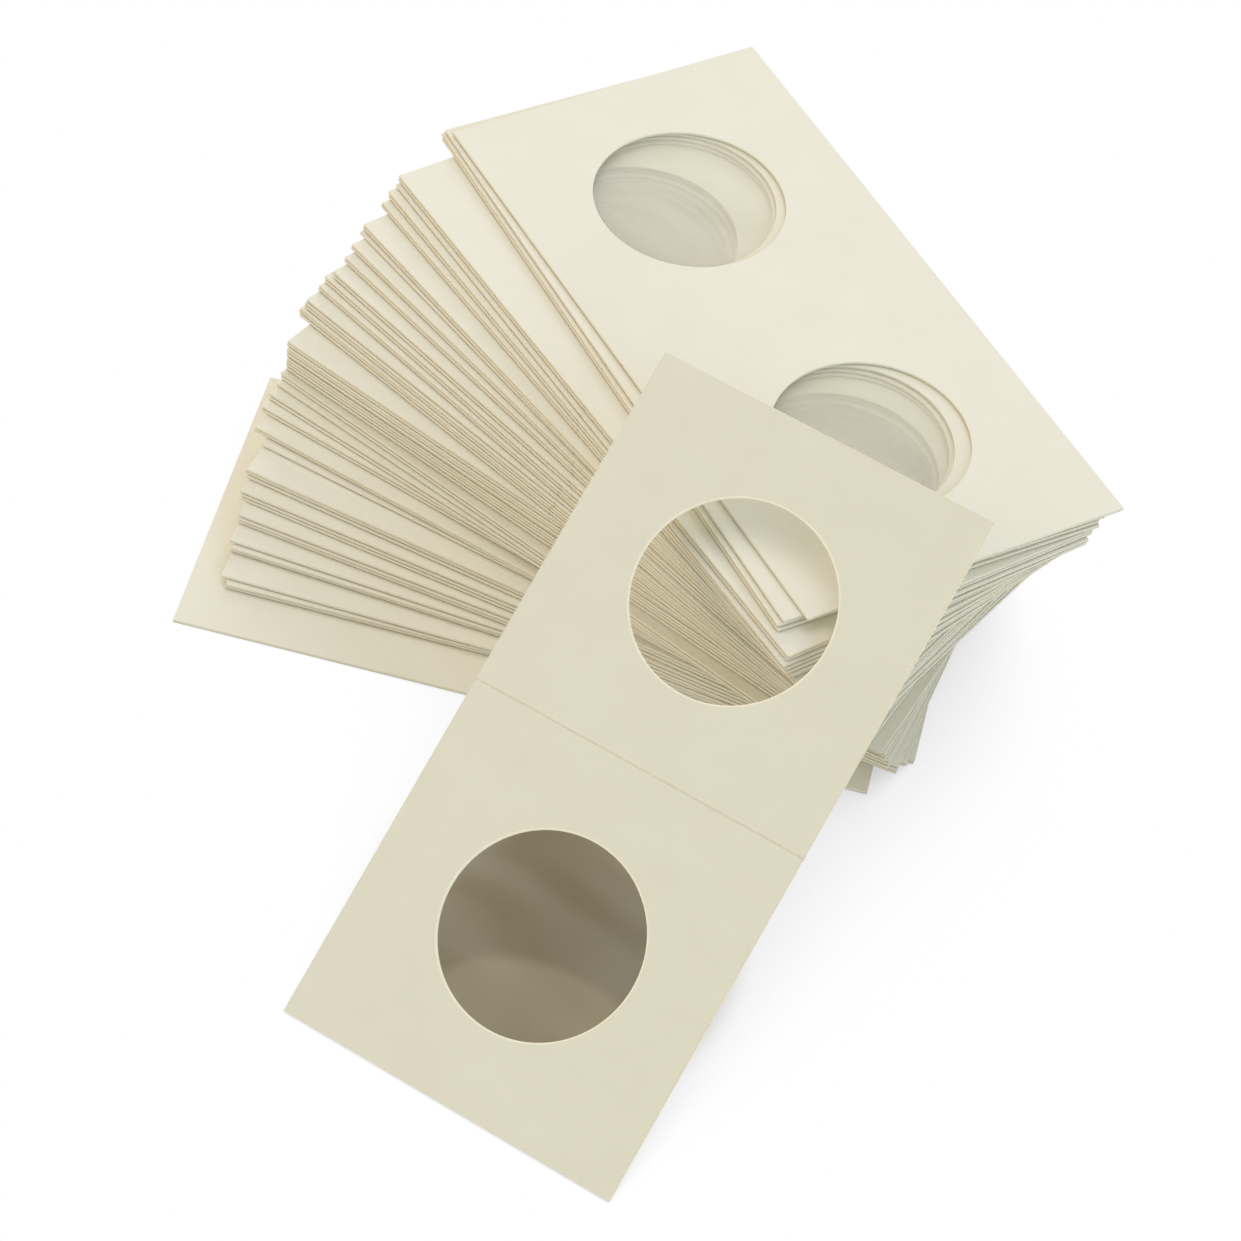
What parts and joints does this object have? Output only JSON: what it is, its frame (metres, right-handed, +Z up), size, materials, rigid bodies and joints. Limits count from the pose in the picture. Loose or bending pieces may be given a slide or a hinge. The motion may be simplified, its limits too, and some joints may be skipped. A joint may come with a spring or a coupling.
{
  "type": "coin holder flip",
  "caption": "Pack of open square card flips with round film windows for coins: a fanned pile, and one open flip with a folding crease leaning on it.",
  "frame": {"origin": "middle of the lowest flip's underside, on the table", "axes": "+X along the leaning flip's foot, +Y to the back, +Z up from the table"},
  "size_m": [0.1277, 0.1608, 0.0564],
  "materials": {
    "pile_card": "matte cream card, cut edges slightly browner",
    "leaning_card": "matte warm cream card",
    "film": "clear glossy film, faintly grey-green"
  },
  "bodies": {
    "top_flip": {"top_flip_cards": "pile_card", "top_flip_films": "film"},
    "bundle_02": {"bundle_02_cards": "pile_card", "bundle_02_films": "film"},
    "bundle_03": {"bundle_03_cards": "pile_card", "bundle_03_films": "film"},
    "bundle_04": {"bundle_04_cards": "pile_card", "bundle_04_films": "film"},
    "bundle_05": {"bundle_05_cards": "pile_card", "bundle_05_films": "film"},
    "bundle_06": {"bundle_06_cards": "pile_card", "bundle_06_films": "film"},
    "bundle_07": {"bundle_07_cards": "pile_card", "bundle_07_films": "film"},
    "bundle_08": {"bundle_08_cards": "pile_card", "bundle_08_films": "film"},
    "bundle_09": {"bundle_09_cards": "pile_card", "bundle_09_films": "film"},
    "bundle_10": {"bundle_10_cards": "pile_card", "bundle_10_films": "film"},
    "bundle_11": {"bundle_11_cards": "pile_card", "bundle_11_films": "film"},
    "bundle_12": {"bundle_12_cards": "pile_card", "bundle_12_films": "film"},
    "bundle_13": {"bundle_13_cards": "pile_card", "bundle_13_films": "film"},
    "bundle_14": {"bundle_14_cards": "pile_card", "bundle_14_films": "film"},
    "bundle_15": {"bundle_15_cards": "pile_card", "bundle_15_films": "film"},
    "bundle_16": {"bundle_16_cards": "pile_card", "bundle_16_films": "film"},
    "bundle_17": {"bundle_17_cards": "pile_card", "bundle_17_films": "film"},
    "bundle_18": {"bundle_18_cards": "pile_card", "bundle_18_films": "film"},
    "bundle_19": {"bundle_19_cards": "pile_card", "bundle_19_films": "film"},
    "bottom_flip": {"bottom_flip_cards": "pile_card", "bottom_flip_films": "film"},
    "leaning_lower": {"leaning_lower_card": "leaning_card", "leaning_crease_web": "leaning_card", "leaning_lower_film": "film"},
    "leaning_upper": {"leaning_upper_card": "leaning_card", "leaning_upper_film": "film"}
  },
  "joints": [
    {"name": "bundle_02_turn", "type": "hinge", "parent": "top_flip", "child": "bundle_02", "pos_m": [0.02163, 0.00214, 0], "axis": [0, 0, 1], "range_deg": [0, 51]},
    {"name": "bundle_03_turn", "type": "hinge", "parent": "top_flip", "child": "bundle_03", "pos_m": [0.02163, 0.00214, 0], "axis": [0, 0, 1], "range_deg": [0, 51]},
    {"name": "bundle_04_turn", "type": "hinge", "parent": "top_flip", "child": "bundle_04", "pos_m": [0.02163, 0.00214, 0], "axis": [0, 0, 1], "range_deg": [0, 46]},
    {"name": "bundle_05_turn", "type": "hinge", "parent": "top_flip", "child": "bundle_05", "pos_m": [0.02163, 0.00214, 0], "axis": [0, 0, 1], "range_deg": [-5, 44]},
    {"name": "bundle_06_turn", "type": "hinge", "parent": "top_flip", "child": "bundle_06", "pos_m": [0.02163, 0.00214, 0], "axis": [0, 0, 1], "range_deg": [-8, 41]},
    {"name": "bundle_07_turn", "type": "hinge", "parent": "top_flip", "child": "bundle_07", "pos_m": [0.02163, 0.00214, 0], "axis": [0, 0, 1], "range_deg": [-11, 38]},
    {"name": "bundle_08_turn", "type": "hinge", "parent": "top_flip", "child": "bundle_08", "pos_m": [0.02163, 0.00214, 0], "axis": [0, 0, 1], "range_deg": [-13, 36]},
    {"name": "bundle_09_turn", "type": "hinge", "parent": "top_flip", "child": "bundle_09", "pos_m": [0.02163, 0.00214, 0], "axis": [0, 0, 1], "range_deg": [-17, 32]},
    {"name": "bundle_10_turn", "type": "hinge", "parent": "top_flip", "child": "bundle_10", "pos_m": [0.02163, 0.00214, 0], "axis": [0, 0, 1], "range_deg": [-17, 32]},
    {"name": "bundle_11_turn", "type": "hinge", "parent": "top_flip", "child": "bundle_11", "pos_m": [0.02163, 0.00214, 0], "axis": [0, 0, 1], "range_deg": [-22, 27]},
    {"name": "bundle_12_turn", "type": "hinge", "parent": "top_flip", "child": "bundle_12", "pos_m": [0.02163, 0.00214, 0], "axis": [0, 0, 1], "range_deg": [-22, 27]},
    {"name": "bundle_13_turn", "type": "hinge", "parent": "top_flip", "child": "bundle_13", "pos_m": [0.02163, 0.00214, 0], "axis": [0, 0, 1], "range_deg": [-25, 24]},
    {"name": "bundle_14_turn", "type": "hinge", "parent": "top_flip", "child": "bundle_14", "pos_m": [0.02163, 0.00214, 0], "axis": [0, 0, 1], "range_deg": [-29, 20]},
    {"name": "bundle_15_turn", "type": "hinge", "parent": "top_flip", "child": "bundle_15", "pos_m": [0.02163, 0.00214, 0], "axis": [0, 0, 1], "range_deg": [-35, 14]},
    {"name": "bundle_16_turn", "type": "hinge", "parent": "top_flip", "child": "bundle_16", "pos_m": [0.02163, 0.00214, 0], "axis": [0, 0, 1], "range_deg": [-36, 13]},
    {"name": "bundle_17_turn", "type": "hinge", "parent": "top_flip", "child": "bundle_17", "pos_m": [0.02163, 0.00214, 0], "axis": [0, 0, 1], "range_deg": [-39, 10]},
    {"name": "bundle_18_turn", "type": "hinge", "parent": "top_flip", "child": "bundle_18", "pos_m": [0.02163, 0.00214, 0], "axis": [0, 0, 1], "range_deg": [-43, 6]},
    {"name": "bundle_19_turn", "type": "hinge", "parent": "top_flip", "child": "bundle_19", "pos_m": [0.02163, 0.00214, 0], "axis": [0, 0, 1], "range_deg": [-47, 2]},
    {"name": "bottom_flip_turn", "type": "hinge", "parent": "top_flip", "child": "bottom_flip", "pos_m": [0.02163, 0.00214, 0], "axis": [0, 0, 1], "range_deg": [-48, 1]},
    {"name": "leaning_flip_lift", "type": "slide", "parent": "top_flip", "child": "leaning_lower", "axis": [0, -0.5511, 0.8344], "range_m": [0, 0.06]},
    {"name": "leaning_flip_fold", "type": "hinge", "parent": "leaning_lower", "child": "leaning_upper", "pos_m": [0.03687, -0.04473, 0.02846], "axis": [1, 0, 0], "range_deg": [0, 178]}
  ]
}
